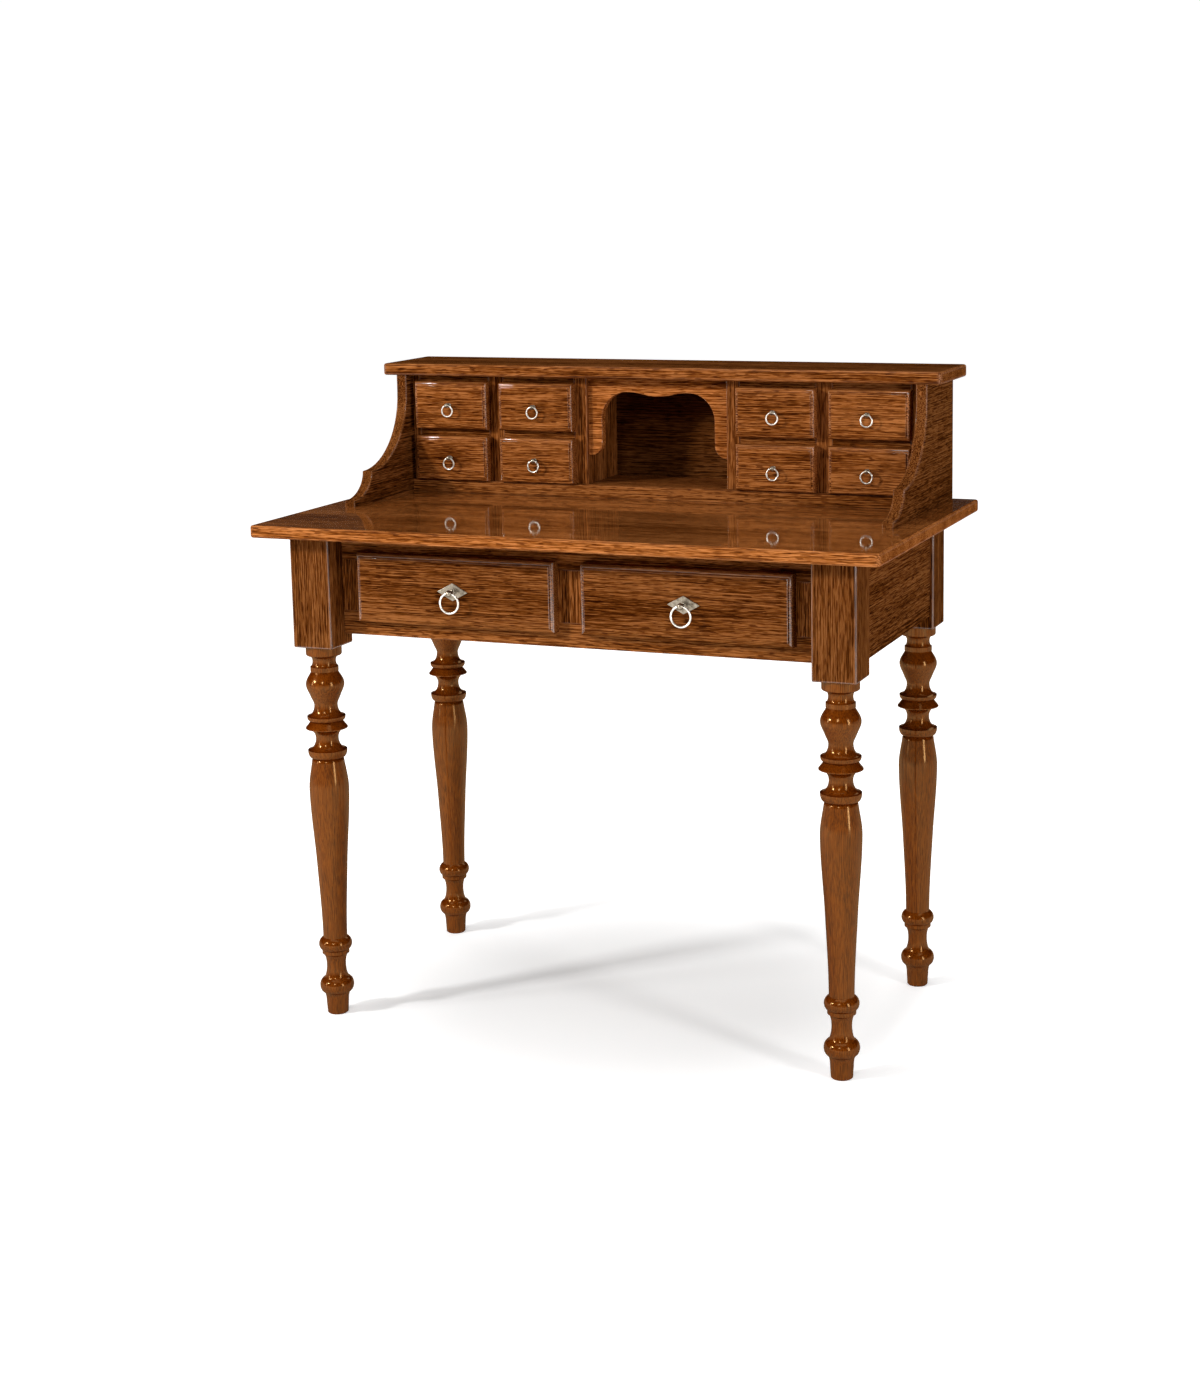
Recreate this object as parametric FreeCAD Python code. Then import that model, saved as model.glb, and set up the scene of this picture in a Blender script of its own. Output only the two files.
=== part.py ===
import FreeCAD, Part
import os
from math import cos, pi, sin, sqrt

V = FreeCAD.Vector

# Writing slab, in millimetres; the floor is z = 0 and the front is towards -Y
slab_width = 982.0
slab_depth = 560.0
slab_thickness = 19.0
slab_top = 780.0
board_corner = 7.0
board_edge = 4.0

# Square blocks of the legs and their places under the slab
leg_block = 66.0
leg_block_drop = 18.0
leg_block_edge = 2.5
side_overhang = 45.0
front_overhang = 40.0

# Turned foot and ankle of each leg, stacked up from the floor
foot_radius = 16.2
foot_ease = 1.5
foot_height = 18.0
foot_top_radius = 17.2
foot_cove_height = 17.0
foot_bead_neck_radius = 21.8
foot_bead_radius = 26.4
foot_bead_height = 21.5
ankle_low_height = 22.0
ankle_radius = 14.9
ankle_high_height = 19.0
ankle_fillet_radius = 21.0
ankle_fillet_height = 5.5
ankle_bead_radius = 25.8
ankle_bead_height = 21.0

# Turned bulb and rings of each leg, stacked down from the block
collar_radius = 27.5
collar_height = 15.5
collar_round = 3.0
collar_neck_radius = 17.9
collar_cove_height = 17.5
bulb_fillet_radius = 21.5
bulb_fillet_height = 7.0
bulb_height = 53.5
bulb_radius = 29.4
bulb_rise = 34.0
bulb_low_radius = 22.9
bulb_low_rise = 14.0
bulb_neck_radius = 17.9
upper_flare_height = 17.0
upper_bead_radius = 29.4
upper_bead_height = 8.0
groove_radius = 24.2
ring_flare_height = 10.0
ring_radius = 32.2
ring_cove_height = 17.0
ring_neck_radius = 17.4
lower_flare_height = 18.0
lower_bead_radius = 30.1
lower_bead_height = 12.5
bead_land = 1.2

# Long vase between the rings and the ankle
vase_groove_depth = 1.4
vase_groove_height = 3.5
vase_top_radius = 24.6
vase_radius = 30.5
vase_shoulder_drop = 46.0
vase_waist_radius = 23.6
vase_low_radius = 18.7

# Rails between the leg blocks
side_rail_thickness = 20.0
side_rail_rise = 3.0
side_rail_recess = 6.0
front_rail_thickness = 22.0
front_rail_recess = 41.0
front_top_rail_height = 40.0
front_bottom_rail_height = 37.0
end_stile_width = 46.0
centre_stile_width = 66.0
opening_height = 78.0
tenon_length = 22.0
tenon_thickness = 10.0
tenon_shoulder = 8.0
joint_gap = 0.1

# Runners, guides and kickers of the large drawers
runner_width = 40.0
runner_height = 20.0
runner_lap = 18.0
guide_height = 20.0

# Large drawers
front_lap_side = 12.0
front_lap_height = 14.0
front_thickness = 20.0
front_round = 8.0
field_step = 2.0
field_margin = 1.0
drawer_back_gap = 30.0
drawer_wall = 12.0
drawer_bottom = 5.0
drawer_fit = 1.0
drawer_head_gap = 2.0
glide_gap = 0.3
groove_height = 8.0
groove_depth = 5.0
groove_gap = 0.1

# Large pulls
plate_width = 50.0
plate_height = 27.0
plate_thickness = 2.2
plate_bevel = 0.8
pull_rise = 1.5
pull_standoff = 13.0
post_radius = 2.8
eye_radius = 5.0
pull_ring_radius = 15.0
pull_wire_radius = 1.6
shank_radius = 2.0
nut_width = 7.0
nut_thickness = 3.2
shank_tail = 3.0

# Upper case
case_inset = 42.5
case_top_overhang = 22.5
case_top_depth = 160.0
case_top_thickness = 19.0
case_height = 212.0
panel_thickness = 18.0
panel_depth = 156.0
panel_edge = 2.5
panel_straight = 27.0
cusp_height = 50.0
sweep_reach = 126.0
toe_reach = 60.0
toe_height = 10.0
back_thickness = 8.0
floor_thickness = 20.0
floor_front = 141.0
divider_front = 133.0
pigeonhole_width = 238.0
partition_thickness = 22.5
divider_thickness = 28.0
liner_thickness = 14.0
row_shelf_thickness = 18.0
top_rail_height = 14.0
top_rail_depth = 40.0
divider_edge = 1.0
plug_radius = 3.5
plug_length = 12.0
plug_proud = 0.4
plug_drop = 14.0
plug_gap = 0.05

# Arched apron of the pigeonhole
apron_thickness = 14.0
apron_recess = 8.0
apron_edge = 1.0
arch_leg_width = 23.0
arch_lobe_radius = 21.0
arch_straight = 38.5
arch_shoulder_radius = 44.0
arch_crown_drop = 23.5
arch_dip = 6.5

# Small drawers
small_lap = 3.0
small_front_thickness = 18.0
small_front_round = 5.5
small_field_step = 1.5
small_floor_gap = 1.0
small_back_gap = 6.0
small_wall = 8.0
small_bottom = 4.0
small_fit = 0.7
small_head_gap = 1.4
small_groove_height = 5.0
small_groove_depth = 4.0

# Small pulls
small_pull_rise = 1.5
small_standoff = 10.0
small_post_radius = 2.3
small_eye_radius = 4.0
small_ring_radius = 9.2
small_wire_radius = 1.3
small_shank_radius = 1.5
small_nut_width = 5.5
small_nut_thickness = 2.4
small_shank_tail = 2.4

# Clearances of the pulls
ring_clearance = 0.3
shank_clearance = 0.1

# Handle length that bends a cubic curve into a quarter ellipse
QUARTER = 0.5523

# Largest share of a wall's thickness that a fillet may take
SOFT_SHARE = 0.45

# Tolerance of comparisons, and how far a cutting tool runs past a face
TINY = 0.001
PAST = 1.0

# Levels and planes that several pieces share
slab_bottom = slab_top - slab_thickness
leg_x = slab_width / 2 - side_overhang - leg_block / 2
leg_y = slab_depth / 2 - front_overhang - leg_block / 2
block_inside_x = leg_x - leg_block / 2
block_inside_y = leg_y - leg_block / 2
frame_front = -leg_y - leg_block / 2 + front_rail_recess
frame_back = frame_front + front_rail_thickness
back_rail_back = leg_y + leg_block / 2 - side_rail_recess
back_rail_front = back_rail_back - side_rail_thickness
opening_top = slab_bottom - front_top_rail_height
opening_bottom = opening_top - opening_height
frame_bottom = opening_bottom - front_bottom_rail_height
block_bottom = frame_bottom - leg_block_drop
side_rail_bottom = frame_bottom + side_rail_rise
opening_inside = centre_stile_width / 2
opening_outside = block_inside_x - end_stile_width

case_back = slab_depth / 2
case_width = slab_width - 2 * case_inset
case_top_width = case_width + 2 * case_top_overhang
case_top = slab_top + case_height
case_ceiling = case_top - case_top_thickness
case_floor = slab_top + floor_thickness
panel_inside = case_width / 2 - panel_thickness
back_front = case_back - back_thickness
divider_plane = case_back - divider_front
partition_inside = pigeonhole_width / 2
partition_outside = partition_inside + partition_thickness
column_width = (panel_inside - liner_thickness - divider_thickness - partition_outside) / 2
divider_inside = partition_outside + column_width
divider_outside = divider_inside + divider_thickness
row_height = (case_ceiling - top_rail_height - row_shelf_thickness - case_floor) / 2
shelf_bottom = case_floor + row_height
shelf_top = shelf_bottom + row_shelf_thickness
rail_bottom = case_ceiling - top_rail_height


class Pen:
    """Draws a closed outline edge by edge in one plane; place(u, v) gives a point of that plane."""

    def __init__(self, place, u, v):
        self.place = place
        self.start = (u, v)
        self.at = (u, v)
        self.edges = []

    def add(self, curve, u, v):
        self.edges.append(curve.toShape())
        self.at = (u, v)

    def line(self, u, v):
        self.add(Part.LineSegment(self.place(*self.at), self.place(u, v)), u, v)

    def arc(self, via_u, via_v, u, v):
        self.add(Part.Arc(self.place(*self.at), self.place(via_u, via_v), self.place(u, v)), u, v)

    def quarter(self, u, v, leave_upright):
        """A quarter ellipse that leaves along v and arrives along u, or the other way round."""
        u0, v0 = self.at
        first = (u0, v0 + QUARTER * (v - v0))
        second = (u - QUARTER * (u - u0), v)
        if not leave_upright:
            first = (u0 + QUARTER * (u - u0), v0)
            second = (u, v - QUARTER * (v - v0))
        curve = Part.BezierCurve()
        curve.setPoles([self.place(*p) for p in (self.at, first, second, (u, v))])
        self.add(curve, u, v)

    def ogee(self, u, v):
        """An S-curve that leaves and arrives along u."""
        middle = (self.at[0] + u) / 2
        curve = Part.BezierCurve()
        curve.setPoles([self.place(*p) for p in (self.at, (middle, self.at[1]), (middle, v), (u, v))])
        self.add(curve, u, v)

    def flow(self, points):
        """A smooth curve through the points, leaving the last place upright."""
        places = [self.place(*p) for p in [self.at] + points]
        rise = self.place(0, 1) - self.place(0, 0)
        curve = Part.BSplineCurve()
        curve.interpolate(Points=places, InitialTangent=rise, FinalTangent=places[-1] - places[-2])
        self.add(curve, *points[-1])

    def face(self):
        if self.at != self.start:
            self.line(*self.start)
        return Part.Face(Part.Wire(self.edges))


def export(name, *solids):
    """Writes one piece, or a group of separate pieces, under its node's name."""
    shape = solids[0] if len(solids) == 1 else Part.makeCompound(list(solids))
    shape.exportStep("parts/" + name + ".step")


def box(x0, x1, y0, y1, z0, z1):
    return Part.makeBox(x1 - x0, y1 - y0, z1 - z0, V(x0, y0, z0))


def rod(radius, start, end):
    return Part.makeCylinder(radius, (end - start).Length, start, end - start)


def drilled(shape, radius, x, z, y0, y1):
    """The shape with a hole from front to back."""
    return shape.cut(rod(radius, V(x, y0 - PAST, z), V(x, y1 + PAST, z)))


def mirrored(shape):
    """The same piece on the other side of the desk."""
    return shape.mirror(V(0, 0, 0), V(1, 0, 0))


def flat_edges(shape, axis, level):
    """Edges that lie wholly in the plane axis = level."""
    low, high = axis + "Min", axis + "Max"
    found = []
    for edge in shape.Edges:
        bounds = edge.BoundBox
        if abs(getattr(bounds, low) - level) < TINY and abs(getattr(bounds, high) - level) < TINY:
            found.append(edge)
    return found


def edges_along(shape, axis):
    """Straight edges that run along one axis."""
    others = [a for a in "XYZ" if a != axis]
    return [e for e in shape.Edges if all(getattr(e.BoundBox, a + "Length") < TINY for a in others)]


def rounded_board(x0, x1, y0, y1, z0, z1):
    """A board with rounded corners in plan and softened rims above and below."""
    board = box(x0, x1, y0, y1, z0, z1)
    board = board.makeFillet(board_corner, edges_along(board, "Z"))
    soft = min(board_edge, SOFT_SHARE * (z1 - z0))
    return board.makeFillet(soft, flat_edges(board, "Z", z0) + flat_edges(board, "Z", z1))


def turning_outline():
    """Half outline of the turned part of a leg, from the floor to the block."""
    bead_low = foot_height + foot_cove_height
    bead_top = bead_low + foot_bead_height
    ankle = bead_top + ankle_low_height
    fillet_low = ankle + ankle_high_height
    fillet_top = fillet_low + ankle_fillet_height
    vase_low = fillet_top + ankle_bead_height
    collar_low = block_bottom - collar_height
    fillet_high = collar_low - collar_cove_height
    bulb_top = fillet_high - bulb_fillet_height
    bulb_low = bulb_top - bulb_height
    upper_bead = bulb_low - upper_flare_height
    groove = upper_bead - upper_bead_height
    ring = groove - ring_flare_height
    ring_neck = ring - ring_cove_height
    lower_bead = ring_neck - lower_flare_height
    lower_groove = lower_bead - lower_bead_height
    vase_top = lower_groove - vase_groove_height
    vase_shoulder = vase_top - vase_shoulder_drop
    pen = Pen(lambda r, z: V(r, 0, z), 0, 0)
    pen.line(foot_radius - foot_ease, 0)
    pen.line(foot_radius, foot_ease)
    pen.line(foot_top_radius, foot_height)
    pen.quarter(foot_bead_neck_radius, bead_low, True)
    pen.arc(foot_bead_radius, (bead_low + bead_top) / 2, foot_bead_neck_radius, bead_top)
    pen.quarter(ankle_radius, ankle, False)
    pen.quarter(ankle_fillet_radius, fillet_low, True)
    pen.line(ankle_fillet_radius, fillet_top)
    pen.arc(ankle_bead_radius, (fillet_top + vase_low) / 2, vase_low_radius, vase_low)
    pen.flow([(vase_waist_radius, (vase_low + vase_shoulder) / 2), (vase_radius, vase_shoulder),
              (vase_top_radius, vase_top)])
    pen.line(vase_top_radius - vase_groove_depth, (vase_top + lower_groove) / 2)
    pen.line(vase_top_radius, lower_groove)
    pen.quarter(lower_bead_radius, lower_bead - bead_land, False)
    pen.line(lower_bead_radius, lower_bead)
    pen.quarter(ring_neck_radius, ring_neck, False)
    pen.quarter(ring_radius, ring - bead_land, True)
    pen.line(ring_radius, ring)
    pen.line(groove_radius, groove)
    pen.quarter(upper_bead_radius, upper_bead - bead_land, False)
    pen.line(upper_bead_radius, upper_bead)
    pen.quarter(bulb_neck_radius, bulb_low, False)
    pen.flow([(bulb_low_radius, bulb_low + bulb_low_rise), (bulb_radius, bulb_low + bulb_rise),
              (bulb_fillet_radius - bead_land, bulb_top)])
    pen.line(bulb_fillet_radius, bulb_top)
    pen.line(bulb_fillet_radius, fillet_high)
    pen.quarter(collar_neck_radius, (fillet_high + collar_low) / 2, False)
    pen.quarter(collar_radius - collar_round, collar_low, True)
    pen.quarter(collar_radius, collar_low + collar_round, False)
    pen.line(collar_radius, block_bottom)
    pen.line(0, block_bottom)
    return pen


def leg(side, end, mortises):
    """One leg with its mortises; side is 1 on the right, end is 1 at the back."""
    half = leg_block / 2
    block = box(-half, half, -half, half, block_bottom, slab_bottom)
    soft = edges_along(block, "Z") + flat_edges(block, "Z", block_bottom)
    block = block.makeFillet(leg_block_edge, soft)
    turning = turning_outline().face().revolve(V(0, 0, 0), V(0, 0, 1), 360)
    whole = block.fuse(turning).removeSplitter()
    whole.translate(V(side * leg_x, end * leg_y, 0))
    for mortise in mortises:
        whole = whole.cut(mortise)
    return whole


def cross_rail(y0, y1, z0, z1):
    """A rail from side to side with its tenons, and the mortises that they need."""
    middle = (y0 + y1) / 2
    reach = block_inside_x + tenon_length
    half = tenon_thickness / 2
    low, high = z0 + tenon_shoulder, z1 - tenon_shoulder
    rail = box(-block_inside_x, block_inside_x, y0, y1, z0, z1)
    tongue = box(-reach, reach, middle - half, middle + half, low, high)
    mortise = box(-reach - joint_gap, reach + joint_gap, middle - half - joint_gap, middle + half + joint_gap,
                  low - joint_gap, high + joint_gap)
    return rail.fuse(tongue).removeSplitter(), mortise


def side_rail(side):
    """A rail from front to back with its tenons, and the mortises that they need."""
    outside = leg_x + leg_block / 2 - side_rail_recess
    middle = side * (outside - side_rail_thickness / 2)
    reach = block_inside_y + tenon_length
    half = tenon_thickness / 2
    z0, z1 = side_rail_bottom, slab_bottom
    low, high = z0 + tenon_shoulder, z1 - tenon_shoulder
    flank = side_rail_thickness / 2
    rail = box(middle - flank, middle + flank, -block_inside_y, block_inside_y, z0, z1)
    tongue = box(middle - half, middle + half, -reach, reach, low, high)
    mortise = box(middle - half - joint_gap, middle + half + joint_gap, -reach - joint_gap, reach + joint_gap,
                  low - joint_gap, high + joint_gap)
    return rail.fuse(tongue).removeSplitter(), mortise


def front_stiles():
    """Two end stiles and the centre stile between the front rails."""
    end = box(opening_outside, block_inside_x, frame_front, frame_back, opening_bottom, opening_top)
    centre = box(-opening_inside, opening_inside, frame_front, frame_back, opening_bottom, opening_top)
    return [mirrored(end), centre, end]


def drawer_runners():
    """Strips from the front frame to the back rail: runners below, guides beside, kickers above."""
    y0, y1 = frame_back, back_rail_front
    low, guide_top = opening_bottom - runner_height, opening_bottom + guide_height
    near = opening_outside - runner_lap
    far = near + runner_width
    reach = opening_inside + runner_lap
    strips = []
    left = (-far, -near, -far, -opening_outside)
    right = (near, far, opening_outside, far)
    centre = (-reach, reach, -opening_inside, opening_inside)
    for x0, x1, guide_x0, guide_x1 in (left, right, centre):
        strips.append(box(x0, x1, y0, y1, low, opening_bottom))
        strips.append(box(guide_x0, guide_x1, y0, y1, opening_bottom, guide_top))
        strips.append(box(x0, x1, y0, y1, opening_top, slab_bottom))
    return strips


def side_panel():
    """Right panel of the upper case: straight above, a long sweep, a cusp and a small sweep to the toe."""
    front = case_back - panel_depth
    sweep_top = case_ceiling - panel_straight
    cusp_y, cusp_z = front - sweep_reach, slab_top + cusp_height
    toe_y, toe_z = cusp_y - toe_reach, slab_top + toe_height
    pen = Pen(lambda y, z: V(panel_inside, y, z), case_back, slab_top)
    pen.line(case_back, case_ceiling)
    pen.line(front, case_ceiling)
    pen.line(front, sweep_top)
    pen.quarter(cusp_y, cusp_z, True)
    pen.quarter(toe_y, toe_z, True)
    pen.line(toe_y, slab_top)
    panel = pen.face().extrude(V(panel_thickness, 0, 0))
    soft = []
    for x in (panel_inside, panel_inside + panel_thickness):
        for edge in flat_edges(panel, "X", x):
            spread = edge.BoundBox
            meets_boards = spread.ZMax < slab_top + TINY or spread.ZMin > case_ceiling - TINY
            if spread.YMax < case_back - TINY and not meets_boards:
                soft.append(edge)
    panel = panel.makeFillet(panel_edge, soft)
    return panel.cut(plug(plug_radius + plug_gap, 0))


def plug(radius, proud):
    """A round plug near the top of the right panel's front edge."""
    front = case_back - panel_depth
    x, z = case_width / 2 - panel_thickness / 2, case_ceiling - plug_drop
    return rod(radius, V(x, front - proud, z), V(x, front + plug_length, z))


def eased_upright(x0, x1):
    """An upright board of the upper case with its front edge softened."""
    board = box(x0, x1, divider_plane, back_front, case_floor, case_ceiling)
    front = [e for e in edges_along(board, "Z") if e.BoundBox.YMax < divider_plane + TINY]
    return board.makeFillet(divider_edge, front)


def upper_dividers():
    """Liners, column dividers and pigeonhole partitions."""
    liner = eased_upright(panel_inside - liner_thickness, panel_inside)
    divider = eased_upright(divider_inside, divider_outside)
    partition = eased_upright(partition_inside, partition_outside)
    uprights = [liner, divider, partition]
    return uprights + [mirrored(u) for u in uprights]


def column_spans():
    """Left and right face of the drawer openings, from left to right."""
    inner = (partition_outside, divider_inside)
    outer = (divider_outside, divider_outside + column_width)
    return [(-outer[1], -outer[0]), (-inner[1], -inner[0]), inner, outer]


def arch_apron():
    """Board under the ceiling of the pigeonhole, cut to two shoulders with a dip between them."""
    y0 = divider_plane + apron_recess
    edge_x = partition_inside
    leg_x0 = edge_x - arch_leg_width
    crown = case_ceiling - arch_crown_drop
    spring = crown - arch_shoulder_radius
    lobe = spring - arch_straight
    low = lobe - arch_lobe_radius
    crown_x = leg_x0 - arch_shoulder_radius
    pen = Pen(lambda x, z: V(x, y0, z), -edge_x, case_ceiling)
    pen.line(-edge_x, low)
    pen.quarter(-leg_x0, lobe, False)
    pen.line(-leg_x0, spring)
    pen.quarter(-crown_x, crown, True)
    pen.ogee(0, crown - arch_dip)
    pen.ogee(crown_x, crown)
    pen.quarter(leg_x0, spring, False)
    pen.line(leg_x0, lobe)
    pen.quarter(edge_x, low, True)
    pen.line(edge_x, case_ceiling)
    apron = pen.face().extrude(V(0, apron_thickness, 0))
    arch = [e for e in flat_edges(apron, "Y", y0) if e.BoundBox.ZMax < case_ceiling - TINY]
    return apron.makeFillet(min(apron_edge, SOFT_SHARE * apron_thickness), arch)


def lipped_front(x0, x1, z0, z1, back, thickness, rounding, step):
    """A drawer front with a thumbnail moulding round a raised field."""
    face = back - thickness
    lip = box(x0, x1, face + step, back, z0, z1)
    lip = lip.makeFillet(rounding, flat_edges(lip, "Y", face + step))
    inset = rounding + field_margin
    field = box(x0 + inset, x1 - inset, face, back - thickness / 2, z0 + inset, z1 - inset)
    field = field.makeFillet(step / 2, flat_edges(field, "Y", face))
    return lip.fuse(field).removeSplitter()


def drawer_box(x0, x1, y0, y1, z0, z1, wall, base, groove_rise, groove_cut):
    """Sub-front, two grooved sides, back and a bottom that slides into the grooves."""
    base_low = z0 + groove_rise
    base_top = base_low + base
    cut = groove_cut - groove_gap
    bottom = box(x0 + wall - cut, x1 - wall + cut, y0 + wall - cut, y1, base_low, base_top)
    slot = box(x0 + wall - groove_cut, x1 - wall + groove_cut, y0 + wall - groove_cut, y1,
               base_low - groove_gap, base_top + groove_gap)
    sub_front = box(x0, x1, y0, y0 + wall, z0, z1).cut(slot)
    left = box(x0, x0 + wall, y0 + wall, y1, z0, z1).cut(slot)
    right = box(x1 - wall, x1, y0 + wall, y1, z0, z1).cut(slot)
    back = box(x0 + wall, x1 - wall, y1 - wall, y1, base_top + groove_gap, z1)
    return [sub_front, left, right, back, bottom]


def lozenge_plate(x, z, face, bore):
    """Back plate of a large pull, a flat lozenge with bevelled rims."""
    wide, high = plate_width / 2, plate_height / 2
    pen = Pen(lambda u, v: V(x + u, face, z + v), wide, 0)
    pen.line(0, high)
    pen.line(-wide, 0)
    pen.line(0, -high)
    plate = pen.face().extrude(V(0, -plate_thickness, 0))
    plate = plate.makeChamfer(plate_bevel, flat_edges(plate, "Y", face - plate_thickness))
    return drilled(plate, bore, x, z, face - plate_thickness, face)


def ring_post(x, z, face, standoff, radius, eye, ring, wire, shank, inner):
    """Post with a drilled eye for the ring, on a shank that runs through the drawer front."""
    centre = V(x, face - standoff, z)
    sag = ring - sqrt(ring ** 2 - eye ** 2)
    post = rod(radius, V(x, face, z), centre).fuse(Part.makeSphere(eye, centre))
    post = post.fuse(rod(shank, V(x, inner, z), V(x, face, z))).removeSplitter()
    span = V(eye + radius, 0, 0)
    return post.cut(rod(wire + ring_clearance + sag, centre - span, centre + span))


def hex_nut(x, z, seat, width, thickness, bore):
    """A nut on the inner end of a shank."""
    reach = width / sqrt(3)
    corners = [V(x + reach * cos(k * pi / 3), seat, z + reach * sin(k * pi / 3)) for k in range(7)]
    nut = Part.Face(Part.makePolygon(corners)).extrude(V(0, thickness, 0))
    return drilled(nut, bore, x, z, seat, seat + thickness)


def hanging_ring(x, z, face, standoff, ring, wire):
    """A ring that hangs through its eye."""
    return Part.makeTorus(ring, wire, V(x, face - standoff, z - ring), V(0, 1, 0))


def large_drawer(name, x0, x1):
    """A drawer of the front frame in the opening from x0 to x1."""
    x = (x0 + x1) / 2
    z = (opening_bottom + opening_top) / 2 + pull_rise
    face = frame_front - front_thickness
    seat = frame_front + drawer_wall
    hole = shank_radius + shank_clearance
    front = lipped_front(x0 - front_lap_side, x1 + front_lap_side, opening_bottom - front_lap_height,
                         opening_top + front_lap_height, frame_front, front_thickness, front_round, field_step)
    pieces = drawer_box(x0 + drawer_fit, x1 - drawer_fit, frame_front, back_rail_front - drawer_back_gap,
                        opening_bottom + glide_gap, opening_top - drawer_head_gap, drawer_wall, drawer_bottom,
                        groove_height, groove_depth)
    pieces[0] = drilled(pieces[0], hole, x, z, frame_front, seat)
    post = ring_post(x, z, face, pull_standoff, post_radius, eye_radius, pull_ring_radius, pull_wire_radius,
                     shank_radius, seat + nut_thickness + shank_tail)
    plate = lozenge_plate(x, z, face, post_radius + shank_clearance)
    nut = hex_nut(x, z, seat, nut_width, nut_thickness, shank_radius + shank_clearance)
    export(name + "_front", drilled(front, hole, x, z, face, frame_front))
    export(name + "_box", *pieces)
    export(name + "_pull", post, plate, nut)
    export(name + "_ring", hanging_ring(x, z, face, pull_standoff, pull_ring_radius, pull_wire_radius))


def small_drawer(name, x0, x1, z0, z1, front_low):
    """A drawer of the upper case in the opening x0 to x1, z0 to z1."""
    x = (x0 + x1) / 2
    z = (front_low + z1 + small_lap) / 2 + small_pull_rise
    face = divider_plane - small_front_thickness
    seat = divider_plane + small_wall
    hole = small_shank_radius + shank_clearance
    front = lipped_front(x0 - small_lap, x1 + small_lap, front_low, z1 + small_lap, divider_plane,
                         small_front_thickness, small_front_round, small_field_step)
    pieces = drawer_box(x0 + small_fit, x1 - small_fit, divider_plane, back_front - small_back_gap,
                        z0 + glide_gap, z1 - small_head_gap, small_wall, small_bottom, small_groove_height,
                        small_groove_depth)
    pieces[0] = drilled(pieces[0], hole, x, z, divider_plane, seat)
    post = ring_post(x, z, face, small_standoff, small_post_radius, small_eye_radius, small_ring_radius,
                     small_wire_radius, small_shank_radius, seat + small_nut_thickness + small_shank_tail)
    nut = hex_nut(x, z, seat, small_nut_width, small_nut_thickness, small_shank_radius + shank_clearance)
    export(name + "_front", drilled(front, hole, x, z, face, divider_plane))
    export(name + "_box", *pieces)
    export(name + "_pull", post, nut)
    export(name + "_ring", hanging_ring(x, z, face, small_standoff, small_ring_radius, small_wire_radius))


os.makedirs("parts", exist_ok=True)

# Base: slab, rails and legs
export("desk_top", rounded_board(-slab_width / 2, slab_width / 2, -slab_depth / 2, slab_depth / 2,
                                 slab_bottom, slab_top))
top_rail, top_mortise = cross_rail(frame_front, frame_back, opening_top, slab_bottom)
bottom_rail, bottom_mortise = cross_rail(frame_front, frame_back, frame_bottom, opening_bottom)
back_rail, back_mortise = cross_rail(back_rail_front, back_rail_back, side_rail_bottom, slab_bottom)
right_rail, right_mortise = side_rail(1)
left_rail, left_mortise = side_rail(-1)
mortises = [top_mortise, bottom_mortise, back_mortise, right_mortise, left_mortise]
export("front_rails", top_rail, bottom_rail)
export("back_rail", back_rail)
export("side_rails", left_rail, right_rail)
for end_name, end in (("front", -1), ("back", 1)):
    for side_name, side in (("left", -1), ("right", 1)):
        export("leg_" + end_name + "_" + side_name, leg(side, end, mortises))
export("front_stiles", *front_stiles())
export("drawer_runners", *drawer_runners())

# Upper case
export("case_top", rounded_board(-case_top_width / 2, case_top_width / 2, case_back - case_top_depth, case_back,
                                 case_ceiling, case_top))
export("case_side_right", side_panel())
export("case_side_left", mirrored(side_panel()))
export("case_plugs", plug(plug_radius, plug_proud), mirrored(plug(plug_radius, plug_proud)))
export("case_back", box(-panel_inside, panel_inside, back_front, case_back, slab_top, case_ceiling))
export("case_floor", box(-panel_inside, panel_inside, case_back - floor_front, back_front,
                         slab_top, case_floor))
export("case_dividers", *upper_dividers())
export("row_shelves", *[box(x0, x1, divider_plane, back_front, shelf_bottom, shelf_top)
                        for x0, x1 in column_spans()])
export("case_top_rails", *[box(x0, x1, divider_plane, divider_plane + top_rail_depth, rail_bottom, case_ceiling)
                           for x0, x1 in column_spans()])
export("arch_apron", arch_apron())

# Drawers
large_drawer("drawer_left", -opening_outside, -opening_inside)
large_drawer("drawer_right", opening_inside, opening_outside)
number = 1
rows = ((shelf_top, rail_bottom, shelf_top - small_lap),
        (case_floor, shelf_bottom, case_floor + small_floor_gap))
for z0, z1, front_low in rows:
    for x0, x1 in column_spans():
        small_drawer("small_drawer_" + str(number), x0, x1, z0, z1, front_low)
        number += 1
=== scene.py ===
"""Dressed model of a writing desk: turned legs, two large drawers and a low case of small drawers."""

import logging
import math
from dataclasses import dataclass
from enum import Enum
from functools import reduce
from typing import Any, Callable, Iterable, Optional, Sequence

import bmesh
import bpy
from mathutils import Matrix, Vector
from mathutils.geometry import interpolate_bezier


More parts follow.
